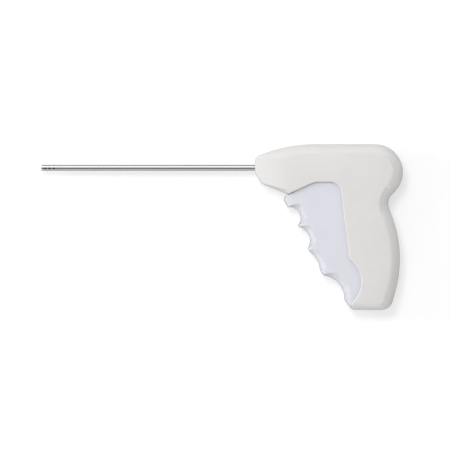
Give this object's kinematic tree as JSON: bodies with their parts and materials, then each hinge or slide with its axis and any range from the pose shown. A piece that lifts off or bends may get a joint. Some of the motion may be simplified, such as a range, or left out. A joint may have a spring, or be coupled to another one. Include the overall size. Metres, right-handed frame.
{
  "type": "laparoscopic_hernia_tacker",
  "caption": "Single-use laparoscopic hernia tacker: white pistol-grip handle, four-finger trigger, and a long 5 mm steel tube with mesh tacks on a turning rod.",
  "frame": {"origin": "on the tube's axis, in the plane of the nose where the steel tube leaves the handle", "axes": "+X from the tube's mouth to the back of the handle, +Y from the grip's foot to the barrel, +Z across the handle's thickness, up when it lies on its right side"},
  "size_m": [0.3066, 0.1402, 0.032],
  "materials": {
    "handle_plastic": "satin, fine grain",
    "trigger_plastic": "glossy, slightly milky",
    "tube_steel": "drawn and polished",
    "inner_steel": "drawn wire and bar",
    "hub_plastic": "matte",
    "gear_plastic": "matte acetal",
    "seal_rubber": "matte",
    "tack_polymer": "moulded, slightly see-through"
  },
  "bodies": {
    "housing": {"left_shell": "handle_plastic", "right_shell": "handle_plastic", "outer_tube": "tube_steel", "guide_liner": "inner_steel", "tube_collar": "hub_plastic", "rod_seal": "seal_rubber", "rear_bushing": "hub_plastic", "rod_washer": "hub_plastic", "gear_axle": "inner_steel", "axle_washers": "inner_steel", "pivot_pin": "inner_steel", "return_spring": "inner_steel"},
    "trigger_body": {"trigger": "trigger_plastic", "sector_gear": "gear_plastic", "sector_pins": "inner_steel"},
    "gear_train": {"drive_pinion": "gear_plastic", "bevel_gear": "gear_plastic", "clutch_spring": "inner_steel"},
    "rod": {"drive_rod": "inner_steel", "rod_bevel": "gear_plastic"},
    "tacks": {"tack_train": "tack_polymer"}
  },
  "joints": [
    {"name": "trigger_squeeze", "type": "hinge", "parent": "housing", "child": "trigger_body", "pos_m": [0.0905, -0.1102, 0], "axis": [0, 0, -1], "range_deg": [0, 17.14], "stiffness_Nm_per_rad": 0.3, "springref_deg": -34.38, "deforming": ["return_spring"]},
    {"name": "gear_spin", "type": "hinge", "parent": "housing", "child": "gear_train", "pos_m": [0.0772, 0, 0], "axis": [0, 0, 1], "range_deg": [0, 300]},
    {"name": "rod_spin", "type": "hinge", "parent": "housing", "child": "rod", "pos_m": [0, 0, 0], "axis": [-1, 0, 0], "range_deg": [0, 900]},
    {"name": "tack_feed", "type": "slide", "parent": "rod", "child": "tacks", "axis": [-1, 0, 0], "range_m": [0, 0.0065]}
  ],
  "couplings": [
    {"joint": "gear_spin", "follows": "trigger_squeeze", "ratio": 17.5},
    {"joint": "rod_spin", "follows": "trigger_squeeze", "ratio": 52.5},
    {"joint": "tack_feed", "follows": "trigger_squeeze", "m_per_rad": 0.021725}
  ]
}
